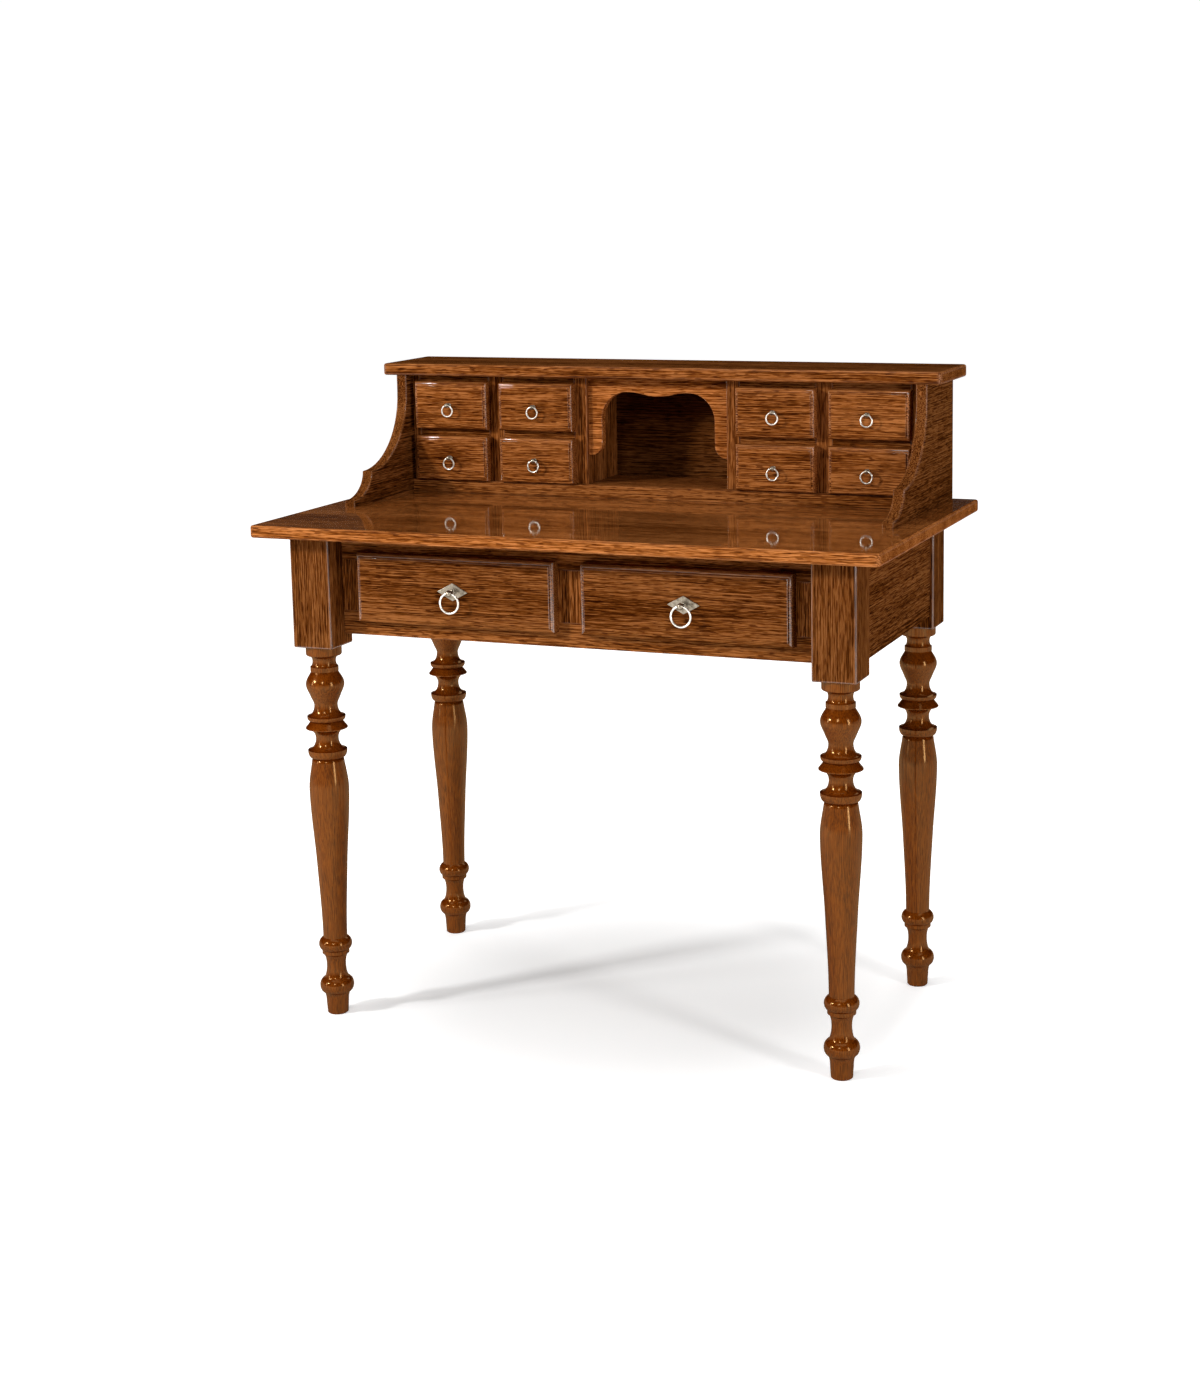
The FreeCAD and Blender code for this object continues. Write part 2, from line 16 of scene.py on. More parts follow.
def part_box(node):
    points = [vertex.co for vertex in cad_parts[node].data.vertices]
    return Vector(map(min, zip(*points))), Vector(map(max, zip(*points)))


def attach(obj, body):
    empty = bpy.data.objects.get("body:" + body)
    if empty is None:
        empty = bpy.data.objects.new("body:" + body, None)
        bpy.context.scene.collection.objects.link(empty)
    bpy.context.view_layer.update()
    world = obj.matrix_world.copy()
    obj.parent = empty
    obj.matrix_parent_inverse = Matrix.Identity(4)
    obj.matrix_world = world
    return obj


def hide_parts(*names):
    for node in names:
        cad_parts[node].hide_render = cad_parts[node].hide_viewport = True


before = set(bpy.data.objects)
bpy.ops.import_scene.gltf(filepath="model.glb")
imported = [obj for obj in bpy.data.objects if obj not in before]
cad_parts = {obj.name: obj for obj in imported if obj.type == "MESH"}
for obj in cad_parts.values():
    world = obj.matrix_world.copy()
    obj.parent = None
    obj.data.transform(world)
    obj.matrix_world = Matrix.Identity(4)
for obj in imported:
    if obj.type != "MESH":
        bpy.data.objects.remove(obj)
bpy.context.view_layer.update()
MM = 0.001
ROOT = "frame"
SMALL_DRAWERS = 8
LOG = logging.getLogger("desk")

# Handles of a quarter ellipse and of a round bead as shares of a stroke, and points along a curved stroke.
QUARTER = 0.5523
BEAD_HANDLE = 0.22
FINENESS = 7
# Millimetres within which two places are the same, lie near each other, or are merged.
SAME = 0.01
NEAR = 1.0
MERGE = 0.002
# Limits on the normal of a face that looks forwards and of a face that looks down.
FORWARDS = -0.99
DOWN = -0.1
ALONG_X, ALONG_Y, ALONG_Z = (Vector(axis) for axis in ((1, 0, 0), (0, 1, 0), (0, 0, 1)))

Colour = tuple[float, float, float]
Place = tuple[float, float, float]
Point = tuple[float, float]
Socket = bpy.types.NodeSocket


class Grain(Enum):
    """Direction that the fibres of a board run in."""

    ACROSS = 0
    DEEP = 1
    UPRIGHT = 2


class Bend(Enum):
    """Ways in which the outline of a turned member goes on."""

    STRAIGHT = 0
    UPRIGHT = 1
    LEVEL = 2
    BEAD = 3


class Slot(Enum):
    """Material slots of the record."""

    WALNUT = "walnut_stain"
    PLAIN = "drawer_wood"
    BACK = "back_board"
    SILVER = "old_silver"


class Finish(Enum):
    """Finishes of the desk."""

    SLAB = "slab"
    CAP = "cap"
    RAIL = "rail"
    FRONT = "front"
    SMALL_FRONT = "small_front"
    APRON = "apron"
    STILE = "stile"
    BLOCK = "block"
    TURNING = "turning"
    SIDE = "side"
    BACK = "back"
    BOX = "box"
    PLATE = "plate"
    RING = "ring"


@dataclass(frozen=True)
class Layer:
    """One noise in a wood's pattern: its scales per metre, its offset and its detail."""

    along: float
    across: float
    offset: float
    detail: float
    roughness: float = 0.5


class Graph:
    """Node tree of one material, built node by node."""

    def __init__(self, name: str) -> None:
        """Starts an empty material.

        Args:
            name: Name of the material.
        """
        self.material = bpy.data.materials.new(name)
        self.material.use_nodes = True
        self.tree = self.material.node_tree
        self.tree.nodes.clear()

    def add(self, kind: str, inputs: Optional[dict] = None, **settings: Any) -> bpy.types.Node:
        """Adds one node.

        Args:
            kind: Node type without the ShaderNode prefix.
            inputs: Values or sockets for the node's inputs, by name or by number.
            **settings: Properties of the node.

        Returns:
            The new node.
        """
        node = self.tree.nodes.new("ShaderNode" + kind)
        for key, value in settings.items():
            setattr(node, key, value)
        for key, value in (inputs or {}).items():
            if isinstance(value, Socket):
                self.tree.links.new(value, node.inputs[key])
            else:
                node.inputs[key].default_value = value
        return node

    def place(self) -> Socket:
        """Object coordinates of the surface."""
        return self.add("TexCoord").outputs["Object"]

    def mark(self, name: str) -> Socket:
        """Strength of a mark that the mesh carries on its faces."""
        return self.add("Attribute", attribute_name=name).outputs["Fac"]

    def math(self, operation: str, first: Any, second: Any = 0.0) -> Socket:
        """Result of one sum on two sockets or numbers."""
        return self.add("Math", {0: first, 1: second}, operation=operation).outputs[0]

    def weigh(self, *parts: tuple[Socket, float]) -> Socket:
        """Sum of sockets, each times its weight."""
        scaled = [self.math("MULTIPLY", part, weight) for part, weight in parts]
        return reduce(lambda first, second: self.math("ADD", first, second), scaled)

    def vector(self, operation: str, inputs: dict) -> Socket:
        """Result of one sum on vectors."""
        return self.add("VectorMath", inputs, operation=operation).outputs[0]

    def blend(self, factor: Any, first: Any, second: Any, mode: str = "MIX") -> Socket:
        """Colour mixed from two colours by a factor."""
        return self.add("Mix", {0: factor, 6: first, 7: second}, data_type="RGBA", blend_type=mode).outputs[2]

    def ramp(self, factor: Socket, stops: Iterable[tuple[float, Sequence[float]]]) -> Socket:
        """Colour read from a ramp.

        Args:
            factor: Socket that picks the place on the ramp.
            stops: Place and linear colour of each stop.

        Returns:
            The colour socket.
        """
        node = self.add("ValToRGB", {"Fac": factor})
        elements, stops = node.color_ramp.elements, list(stops)
        while len(elements) < len(stops):
            elements.new(1.0)
        for element, (place, colour) in zip(elements, stops):
            element.position = place
            element.color = (*colour, 1.0)
        return node.outputs["Color"]

    def step(self, factor: Socket, low: float, high: float, start: float = 0.0, end: float = 1.0) -> Socket:
        """Smooth step of a factor, from the start at low to the end at high."""
        inputs = {"Value": factor, "From Min": low, "From Max": high, "To Min": start, "To Max": end}
        return self.add("MapRange", inputs, interpolation_type="SMOOTHSTEP").outputs["Result"]

    def noise(self, vector: Socket, scale: float, detail: float, roughness: float = 0.5) -> Socket:
        """Strength of a cloudy noise at a place."""
        inputs = {"Vector": vector, "Scale": scale, "Detail": detail, "Roughness": roughness}
        return self.add("TexNoise", inputs).outputs["Fac"]

    def layer(self, place: Socket, layer: Layer, grain: Grain, shift: float) -> Socket:
        """Strength of a layer that runs slowly along the grain and fast across it.

        Args:
            place: Object coordinates.
            layer: Scales of the layer.
            grain: Direction of the grain.
            shift: Offset that moves the pattern to another part of the tree.

        Returns:
            The strength socket.
        """
        scale = [layer.across] * 3
        scale[grain.value] = layer.along
        inputs = {"Vector": place, "Location": (shift + layer.offset,) * 3, "Scale": scale}
        return self.noise(self.add("Mapping", inputs).outputs[0], 1.0, layer.detail, layer.roughness)

    def bump(self, height: Socket, strength: float, distance: float) -> Socket:
        """Normal that is tilted by a height."""
        inputs = {"Height": height, "Strength": strength, "Distance": distance}
        return self.add("Bump", inputs).outputs["Normal"]

    def close(self, inputs: dict) -> bpy.types.Material:
        """Joins a principled shader to the output and hands the material over."""
        self.add("OutputMaterial", {"Surface": self.add("BsdfPrincipled", inputs).outputs[0]})
        return self.material


@dataclass(frozen=True)
class Walnut:
    """Walnut-brown stain with dark straight grain under varnish, with pale rims of rubbing and painted
    highlight and with painted shade on tops.
    """

    name: str
    grain: Grain
    shift: float = 0.0
    shade: float = 1.0
    coat: float = 0.0
    all_over: bool = False
    rim_coat: float = 0.06
    coat_index: float = 2.4
    specular: float = 0.0
    roughness: float = 0.05
    roughness_spread: float = 0.04
    # Factor for the marked top faces: painted shade, tops drawn darker than the edges as if they took less
    # light.
    painted_top_shade: float = 1.0
    pore_shade: float = 0.75
    pore_depth: float = 0.06
    pore_distance: float = 0.0003
    fibre_height: float = 0.4
    # Rims lighten towards a pale colour: partly rubbing from use, partly a painted highlight along the
    # rounded edges.
    wear_and_highlight: float = 0.15
    wear_and_highlight_range: Point = (0.34, 0.62)
    stroke_range: Point = (0.56, 0.64)
    fleck_range: Point = (0.61, 0.70)
    tone_stops: tuple[float, ...] = (0.42, 0.49, 0.56)
    shares: tuple[float, ...] = (0.18, 0.46, 0.36)
    figure: Layer = Layer(1.8, 26.0, 0.0, 2.0)
    streak: Layer = Layer(6.0, 740.0, 3.0, 3.0, 0.65)
    fibre: Layer = Layer(45.0, 760.0, 7.0, 2.0, 0.6)
    stroke: Layer = Layer(13.0, 760.0, 11.0, 1.0)
    fleck: Layer = Layer(60.0, 560.0, 19.0, 0.0)
    sway_scale: float = 5.0
    sway_detail: float = 2.0
    sway_reach: float = 0.004
    slot: Slot = Slot.WALNUT
    dark: Colour = (0.060, 0.0120, 0.0010)
    middle: Colour = (0.215, 0.0605, 0.0095)
    light: Colour = (0.420, 0.1480, 0.0400)
    pore_tint: Colour = (0.220, 0.1300, 0.0500)
    # Pale rim colour: rubbing from use and painted highlight.
    rubbed_and_highlight: Colour = (0.520, 0.2200, 0.0850)
    glow: Colour = (1.000, 0.6200, 0.2800)
    varnish: Colour = (1.000, 1.0000, 1.0000)

    def swayed(self, graph: Graph) -> Socket:
        """Object coordinates that stray a little, so that the grain isn't ruled.

        Args:
            graph: Node tree of the material.

        Returns:
            The coordinates.
        """
        place = graph.place()
        inputs = {"Vector": place, "Scale": self.sway_scale, "Detail": self.sway_detail}
        drift = graph.add("TexNoise", inputs).outputs["Color"]
        sway = graph.vector("SUBTRACT", {0: drift, 1: (0.5, 0.5, 0.5)})
        return graph.vector("ADD", {0: place, 1: graph.vector("SCALE", {0: sway, "Scale": self.sway_reach})})

    def make(self) -> bpy.types.Material:
        """Builds the material.

        Returns:
            The finished material.
        """
        graph = Graph(self.name)
        place = self.swayed(graph)
        layers = (self.figure, self.streak, self.fibre, self.stroke, self.fleck)
        figure, streak, fibre, stroke, fleck = (graph.layer(place, layer, self.grain, self.shift)
                                                for layer in layers)
        tone = graph.weigh(*zip((figure, streak, fibre), self.shares))
        shaded = [tuple(self.shade * c for c in tint) for tint in (self.dark, self.middle, self.light)]
        colour = graph.ramp(tone, zip(self.tone_stops, shaded))
        pore = graph.math("MAXIMUM", graph.step(stroke, *self.stroke_range),
                          graph.step(fleck, *self.fleck_range))
        shadow = graph.math("MULTIPLY", pore, self.pore_shade)
        colour = graph.blend(shadow, colour, (*self.pore_tint, 1.0), "MULTIPLY")
        rim, polish_and_painted_shade = graph.mark("rim"), graph.mark("polish_and_painted_shade")
        # Pale rims along light streaks: rubbing from use and painted highlight.
        worn_and_highlit = graph.math("MULTIPLY", rim, graph.step(streak, *self.wear_and_highlight_range))
        colour = graph.blend(graph.math("MULTIPLY", worn_and_highlit, self.wear_and_highlight), colour, (*self.rubbed_and_highlight, 1.0))
        # Painted shade: the marked top faces of slab and cap are darkened by the top factor.
        colour = graph.blend(polish_and_painted_shade, colour, (self.painted_top_shade,) * 3 + (1.0,), "MULTIPLY")
        gloss = self.coat
        if not self.all_over:
            gloss = graph.math("MAXIMUM", graph.math("MULTIPLY", rim, self.rim_coat),
                               graph.math("MULTIPLY", polish_and_painted_shade, self.coat))
        rough = graph.math("ADD", graph.math("MULTIPLY", streak, self.roughness_spread), self.roughness)
        height = graph.math("SUBTRACT", graph.math("MULTIPLY", fibre, self.fibre_height), pore)
        return graph.close({"Base Color": colour, "Roughness": rough,
                            "Normal": graph.bump(height, self.pore_depth, self.pore_distance),
                            "Specular IOR Level": self.specular, "Specular Tint": (*self.glow, 1.0),
                            "Coat Weight": gloss, "Coat IOR": self.coat_index,
                            "Coat Roughness": self.roughness, "Coat Tint": (*self.varnish, 1.0)})


@dataclass(frozen=True)
class PlainWood:
    """Unvarnished secondary wood of drawer boxes and runners."""

    name: str
    grain: Grain
    shift: float = 0.0
    roughness: float = 0.5
    roughness_spread: float = 0.2
    specular: float = 0.3
    bump_strength: float = 0.25
    bump_distance: float = 0.0004
    tone_stops: Point = (0.36, 0.62)
    shares: Point = (0.55, 0.45)
    figure: Layer = Layer(2.0, 34.0, 0.0, 3.0)
    streak: Layer = Layer(14.0, 380.0, 5.0, 4.0, 0.6)
    slot: Slot = Slot.PLAIN
    dark: Colour = (0.245, 0.128, 0.056)
    light: Colour = (0.440, 0.276, 0.146)

    def make(self) -> bpy.types.Material:
        """Builds the material.

        Returns:
            The finished material.
        """
        graph = Graph(self.name)
        place = graph.place()
        figure = graph.layer(place, self.figure, self.grain, self.shift)
        streak = graph.layer(place, self.streak, self.grain, self.shift)
        tone = graph.weigh(*zip((figure, streak), self.shares))
        rough = graph.math("ADD", graph.math("MULTIPLY", streak, self.roughness_spread), self.roughness)
        return graph.close({"Base Color": graph.ramp(tone, zip(self.tone_stops, (self.dark, self.light))),
                            "Roughness": rough, "Specular IOR Level": self.specular,
                            "Normal": graph.bump(streak, self.bump_strength, self.bump_distance)})


@dataclass(frozen=True)
class OldSilver:
    """Pale antique silver, cloudy and darker where use has brightened it less."""

    name: str
    dull: Colour
    bright: Colour
    cloud: tuple[float, ...] = (190.0, 4.0, 0.6)
    speck: tuple[float, ...] = (900.0, 2.0)
    shares: Point = (0.7, 0.3)
    tone_stops: Point = (0.34, 0.58)
    roughness: float = 0.46
    roughness_spread: float = -0.25
    bump_strength: float = 0.15
    bump_distance: float = 0.0003
    slot: Slot = Slot.SILVER

    def make(self) -> bpy.types.Material:
        """Builds the material.

        Returns:
            The finished material.
        """
        graph = Graph(self.name)
        place = graph.place()
        cloud, speck = graph.noise(place, *self.cloud), graph.noise(place, *self.speck)
        tone = graph.weigh(*zip((cloud, speck), self.shares))
        rough = graph.math("ADD", graph.math("MULTIPLY", cloud, self.roughness_spread), self.roughness)
        return graph.close({"Base Color": graph.ramp(tone, zip(self.tone_stops, (self.dull, self.bright))),
                            "Roughness": rough, "Metallic": 1.0,
                            "Normal": graph.bump(speck, self.bump_strength, self.bump_distance)})


@dataclass(frozen=True)
class PaleGround:
    """White studio ground that keeps soft shadows."""

    name: str
    colour: Colour = (0.80, 0.80, 0.80)
    dimmed: Colour = (0.788, 0.788, 0.788)
    cloud: Point = (0.8, 2.0)
    tone_stops: Point = (0.3, 0.7)
    roughness: float = 0.9
    lift_near: float = 0.28
    lift_far: float = 1.0
    near: float = 0.22
    far: float = 0.86

    def make(self) -> bpy.types.Material:
        """Builds the material.

        Returns:
            The finished material.
        """
        graph = Graph(self.name)
        path = graph.add("LightPath").outputs
        seen = graph.math("MAXIMUM", path["Is Camera Ray"], path["Is Glossy Ray"])
        seen = graph.math("MAXIMUM", seen, path["Is Transmission Ray"])
        place = graph.place()
        cloud = graph.noise(place, *self.cloud)
        distance = graph.add("VectorMath", {0: place}, operation="LENGTH").outputs["Value"]
        lift = graph.step(distance, self.near, self.far, self.lift_near, self.lift_far)
        return graph.close({"Base Color": graph.ramp(cloud, zip(self.tone_stops, (self.dimmed, self.colour))),
                            "Roughness": self.roughness, "Specular IOR Level": 0.0,
                            "Emission Color": (1.0, 1.0, 1.0, 1.0),
                            "Emission Strength": graph.math("MULTIPLY", seen, lift)})


@dataclass(frozen=True)
class Member:
    """One member of a turning: its bend, its rise, its radius at the upper end and a bead's crest."""

    bend: Bend
    rise: float
    radius: float
    crest: float = 0.0


class Outline:
    """Open line of points in a plane, drawn stroke by stroke in millimetres."""

    def __init__(self, u: float, v: float, fineness: int = FINENESS) -> None:
        """Starts at one point, with the number of points along each curved stroke."""
        self.points: list[Vector] = [Vector((u, v, 0.0))]
        self.fineness = fineness

    def line(self, u: float, v: float) -> None:
        """A straight stroke."""
        self.points.append(Vector((u, v, 0.0)))

    def curve(self, first: Point, second: Point, end: Point) -> None:
        """A cubic stroke with two handles."""
        handles = [Vector((*p, 0.0)) for p in (first, second, end)]
        self.points += interpolate_bezier(self.points[-1], *handles, self.fineness + 1)[1:]

    def quarter(self, u: float, v: float, upright: bool) -> None:
        """A quarter ellipse.

        Args:
            u: First coordinate of its end.
            v: Second coordinate of its end.
            upright: True if it leaves along v, else it leaves along u.
        """
        u0, v0, _ = self.points[-1]
        if upright:
            self.curve((u0, v0 + QUARTER * (v - v0)), (u - QUARTER * (u - u0), v), (u, v))
        else:
            self.curve((u0 + QUARTER * (u - u0), v0), (u, v - QUARTER * (v - v0)), (u, v))

    def bulge(self, crest: float, u: float, v: float) -> None:
        """A round bead whose middle reaches the crest.

        Args:
            crest: First coordinate of the bead's middle.
            u: First coordinate of its end.
            v: Second coordinate of its end.
        """
        u0, v0, _ = self.points[-1]
        handle = (8 * crest - u0 - u) / 6
        rise = BEAD_HANDLE * (v - v0)
        self.curve((handle, v0 + rise), (handle, v - rise), (u, v))

    def ogee(self, u: float, v: float) -> None:
        """An S-curve that leaves and arrives along u."""
        u0, v0, _ = self.points[-1]
        self.curve(((u0 + u) / 2, v0), ((u0 + u) / 2, v), (u, v))

    def flow(self, stations: Sequence[Point]) -> None:
        """A smooth line through the stations that leaves the last point along v.

        Args:
            stations: Points to pass through, in order.
        """
        knots = [self.points[-1]] + [Vector((*s, 0.0)) for s in stations]
        slopes = [Vector((0.0, 1.0, 0.0))]
        slopes += [(after - before).normalized() for before, after in zip(knots, knots[2:])]
        slopes.append((knots[-1] - knots[-2]).normalized())
        for start, end, leave, arrive in zip(knots, knots[1:], slopes, slopes[1:]):
            reach = (end - start).length / 3
            first, second = start + reach * leave, end - reach * arrive
            self.curve(tuple(first[:2]), tuple(second[:2]), tuple(end[:2]))

    def stack(self, members: Iterable[Member], level: float) -> float:
        """Members of a turning, one on the other.

        Args:
            members: The members, from the lowest up.
            level: Height where the lowest one starts.

        Returns:
            Height where the highest one ends.
        """
        for member in members:
            level += member.rise
            if member.bend is Bend.STRAIGHT:
                self.line(member.radius, level)
            elif member.bend is Bend.BEAD:
                self.bulge(member.crest, member.radius, level)
            else:
                self.quarter(member.radius, level, member.bend is Bend.UPRIGHT)
        return level


class Mould:
    """A mesh in the making, in millimetres."""

    def __init__(self) -> None:
        """Starts with nothing."""
        self.bm = bmesh.new()
        self.rim = self.bm.faces.layers.float.new("rim")
        # This mark drives the coat, and on the slab and cap tops the painted top shade.
        self.polish_and_painted_shade = self.bm.faces.layers.float.new("polish_and_painted_shade")

    def board(self, low: Sequence[float], high: Sequence[float]) -> list[bmesh.types.BMVert]:
        """Adds a plain board.

        Args:
            low: Lowest corner.
            high: Highest corner.

        Returns:
            The board's corners.
        """
        low, high = Vector(low), Vector(high)
        place = Matrix.Translation((low + high) / 2) @ Matrix.Diagonal((*(high - low), 1.0))
        return bmesh.ops.create_cube(self.bm, size=1.0, matrix=place)["verts"]

    @staticmethod
    def edges(corners: Iterable[bmesh.types.BMVert]) -> list[bmesh.types.BMEdge]:
        """Edges between corners of one shape."""
        return list({edge for corner in corners for edge in corner.link_edges})

    def where(self, test: Callable[[Vector, Vector], bool]) -> list[bmesh.types.BMEdge]:
        """Edges whose two ends pass a test."""
        return [e for e in self.bm.edges if test(e.verts[0].co, e.verts[1].co)]

    def soften(self, edges: Sequence[bmesh.types.BMEdge], radius: float, segments: int = 3) -> None:
        """Rounds edges and marks the new faces as rims, which take rim coat and the pale rim colour of
        rubbing and painted highlight.

        Args:
            edges: Edges to round.
            radius: Width of the rounding.
            segments: Steps of the rounding.
        """
        made = bmesh.ops.bevel(self.bm, geom=list(edges), offset=radius, offset_type="OFFSET",
                               segments=segments, profile=0.5, affect="EDGES", material=-1,
                               clamp_overlap=True)
        for face in made["faces"]:
            face[self.rim] = 1.0

    def soft_board(self, low: Sequence[float], high: Sequence[float], radius: float) -> None:
        """Adds a board with all its edges eased."""
        self.soften(self.edges(self.board(low, high)), radius, 2)

    def chain(self, points: Sequence[Vector], place: Callable[[Vector], Vector]) -> list:
        """Adds the vertices of a line, put in place, and the edges between them."""
        verts = [self.bm.verts.new(place(p)) for p in points]
        return verts + [self.bm.edges.new(pair) for pair in zip(verts, verts[1:])]

    def turn(self, points: Sequence[Vector], centre: Vector, axis: Vector, reach: Vector, steps: int) -> None:
        """Turns an outline about an axis and marks the new faces for coat gloss and painted top shade.

        Args:
            points: Outline as distance from the axis and place along it.
            centre: Point on the axis.
            axis: Direction of the axis.
            reach: Direction away from the axis where the outline starts.
            steps: Faces round the turning.
        """
        line = self.chain(points, lambda p: centre + p.x * reach + p.y * axis)
        before = set(self.bm.faces)
        bmesh.ops.spin(self.bm, geom=line, cent=centre, axis=axis, dvec=(0.0, 0.0, 0.0), angle=math.tau,
                       steps=steps, use_merge=True, use_normal_flip=False, use_duplicate=False)
        for face in self.bm.faces:
            if face not in before:
                face[self.polish_and_painted_shade] = 1.0

    def slab(self, points: Sequence[Vector], place: Callable[[Vector], Vector], depth: Vector) -> None:
        """Makes a closed outline into a board.

        Args:
            points: Outline, without its first point repeated.
            place: Turns a point of the outline into a place in space.
            depth: Thickness and direction of the board.
        """
        face = self.bm.faces.new([self.bm.verts.new(place(p)) for p in points])
        grown = bmesh.ops.extrude_face_region(self.bm, geom=[face], use_keep_orig=True)["geom"]
        moved = [v for v in grown if isinstance(v, bmesh.types.BMVert)]
        bmesh.ops.translate(self.bm, verts=moved, vec=depth)

    def mirror(self) -> None:
        """Flips the shape to the other side of the desk."""
        bmesh.ops.scale(self.bm, vec=(-1.0, 1.0, 1.0), verts=self.bm.verts)

    def front_face(self) -> bmesh.types.BMFace:
        """The largest face that looks forwards."""
        return max((f for f in self.bm.faces if f.normal.y < FORWARDS), key=lambda f: f.calc_area())

    def cast(self, name: str, finish: bpy.types.Material, sharp: float = 32.0) -> bpy.types.Object:
        """Turns the mesh into an object at the origin.

        Args:
            name: Name of the piece.
            finish: Material of the piece.
            sharp: Angle in degrees from which an edge stays crisp.

        Returns:
            The finished object.
        """
        bmesh.ops.remove_doubles(self.bm, verts=self.bm.verts, dist=MERGE)
        bmesh.ops.recalc_face_normals(self.bm, faces=self.bm.faces)
        for face in self.bm.faces:
            face.smooth = True
        for edge in self.bm.edges:
            edge.smooth = len(edge.link_faces) == 2 and edge.calc_face_angle(0.0) < math.radians(sharp)
        bmesh.ops.scale(self.bm, vec=(MM, MM, MM), verts=self.bm.verts)
        mesh = bpy.data.meshes.new(name)
        self.bm.to_mesh(mesh)
        self.bm.free()
        mesh.materials.append(finish)
        piece = bpy.data.objects.new(name, mesh)
        bpy.context.scene.collection.objects.link(piece)
        even = piece.modifiers.new("even_normals", "WEIGHTED_NORMAL")
        even.keep_sharp = True
        return piece


class Finishes:
    """The finishes of the desk, each made once."""

    def __init__(self) -> None:
        """Lists the finishes and makes their materials."""
        self.recipes = {
            # Slab and cap: their tops carry painted shade, darker than their edges.
            Finish.SLAB: Walnut("walnut_slab", Grain.ACROSS, 0.0, 1.35, coat=1.0, coat_index=1.5,
                                painted_top_shade=0.70),
            Finish.CAP: Walnut("walnut_cap", Grain.ACROSS, 13.0, 1.02, painted_top_shade=0.5),
            Finish.RAIL: Walnut("walnut_rail", Grain.ACROSS, 21.0, 0.85),
            Finish.FRONT: Walnut("walnut_front", Grain.ACROSS, 34.0, 0.70, rim_coat=0.4),
            # Small fronts: painted light, a brighter copy of the front finish for the case's drawers, which
            # take less light.
            Finish.SMALL_FRONT: Walnut("walnut_small_front_painted_light", Grain.ACROSS, 53.0, 1.02, rim_coat=0.14),
            # Apron: painted light, its colour raised far above the fronts' to lift it out of the cap's
            # shadow.
            Finish.APRON: Walnut("walnut_apron_painted_light", Grain.ACROSS, 47.0, 1.40, rim_coat=0.15),
            Finish.STILE: Walnut("walnut_stile", Grain.UPRIGHT, 5.0, 0.9, rim_coat=0.15),
            Finish.BLOCK: Walnut("walnut_block", Grain.UPRIGHT, 17.0, 0.6, rim_coat=0.3, pore_shade=0.6),
            Finish.TURNING: Walnut("walnut_turning", Grain.UPRIGHT, 17.0, 0.82, coat=1.0, all_over=True,
                                   coat_index=1.01, specular=0.65, roughness=0.12, pore_shade=0.35,
                                   pore_depth=0.0, dark=(0.140, 0.0300, 0.0018),
                                   middle=(0.230, 0.0560, 0.0036), light=(0.320, 0.0880, 0.0080),
                                   glow=(1.000, 0.7000, 0.3800), varnish=(0.750, 0.6200, 0.4500)),
            Finish.SIDE: Walnut("walnut_side", Grain.DEEP, 29.0, 0.60, rim_coat=0.1),
            # Back board: painted shade, drawn dark so that the inside of the pigeonhole looks shaded.
            Finish.BACK: Walnut("walnut_back_painted_shade", Grain.ACROSS, 41.0, 0.4, all_over=True, slot=Slot.BACK),
            Finish.BOX: PlainWood("drawer_wood_deep", Grain.DEEP),
            Finish.PLATE: OldSilver("old_silver_plate", dull=(0.130, 0.105, 0.075),
                                    bright=(0.380, 0.325, 0.250)),
            Finish.RING: OldSilver("old_silver_ring", dull=(0.480, 0.440, 0.370),
                                   bright=(0.920, 0.885, 0.810)),
        }
        self.materials = {key: recipe.make() for key, recipe in self.recipes.items()}

    def __getitem__(self, key: Finish) -> bpy.types.Material:
        """Material of one finish."""
        return self.materials[key]

    def slot(self, key: Finish) -> str:
        """Name of the record's slot that a finish belongs to."""
        return self.recipes[key].slot.value


def extent(node: str) -> tuple[Vector, Vector]:
    """Lowest and highest corner of a CAD node, in millimetres."""
    low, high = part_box(node)
    return low / MM, high / MM


@dataclass
class Assembly:
    """A group of pieces that share finishes and a way of being put in place."""

    finishes: Finishes

    def put(self, mould: Mould, name: str, finish: Finish, body: str, *nodes: str) -> None:
        """Places a new piece for the CAD nodes that it stands for.

        Args:
            mould: The finished mesh.
            name: Name of the piece.
            finish: Its finish.
            body: CAD body that it moves with.
            *nodes: CAD nodes that it replaces.
        """
        piece = mould.cast(name, self.finishes[finish])
        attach(piece, body)
        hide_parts(*nodes)
        self.finishes.slot(finish)
        LOG.info("piece %s for %s", name, ", ".join(nodes))

    def keep(self, node: str, finish: Finish) -> None:
        """Gives a CAD node whose shape is right its finish.

        Args:
            node: CAD node that is kept.
            finish: Its finish.
        """
        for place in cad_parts[node].material_slots:
            place.material = self.finishes[finish]
        LOG.info("node %s in %s", node, finish.value)


@dataclass
class WritingSlab(Assembly):
    """The large top board and the cap board of the case."""

    corner: float = 7.0
    corner_steps: int = 5
    edge: float = 3.6
    edge_steps: int = 4

    def board(self, node: str, name: str, finish: Finish) -> None:
        """Makes one board with rounded corners and softened rims.

        Args:
            node: CAD node that it replaces.
            name: Name of the piece.
            finish: Its finish.
        """
        low, high = extent(node)
        mould = Mould()
        mould.board(low, high)
        uprights = mould.where(lambda a, b: abs(a.z - b.z) > NEAR)
        mould.soften(uprights, self.corner, self.corner_steps)
        rims = mould.where(lambda a, b: abs(a.z - b.z) < SAME)
        mould.soften(rims, self.edge, self.edge_steps)
        mould.bm.normal_update()
        # The top face is marked for coat gloss and for painted top shade.
        top = max(mould.bm.faces, key=lambda f: f.normal.z * f.calc_area())
        top[mould.polish_and_painted_shade] = 1.0
        self.put(mould, name, finish, ROOT, node)

    def build(self) -> None:
        """Builds both boards."""
        self.board("desk_top", "slab_board", Finish.SLAB)
        self.board("case_top", "cap_board", Finish.CAP)


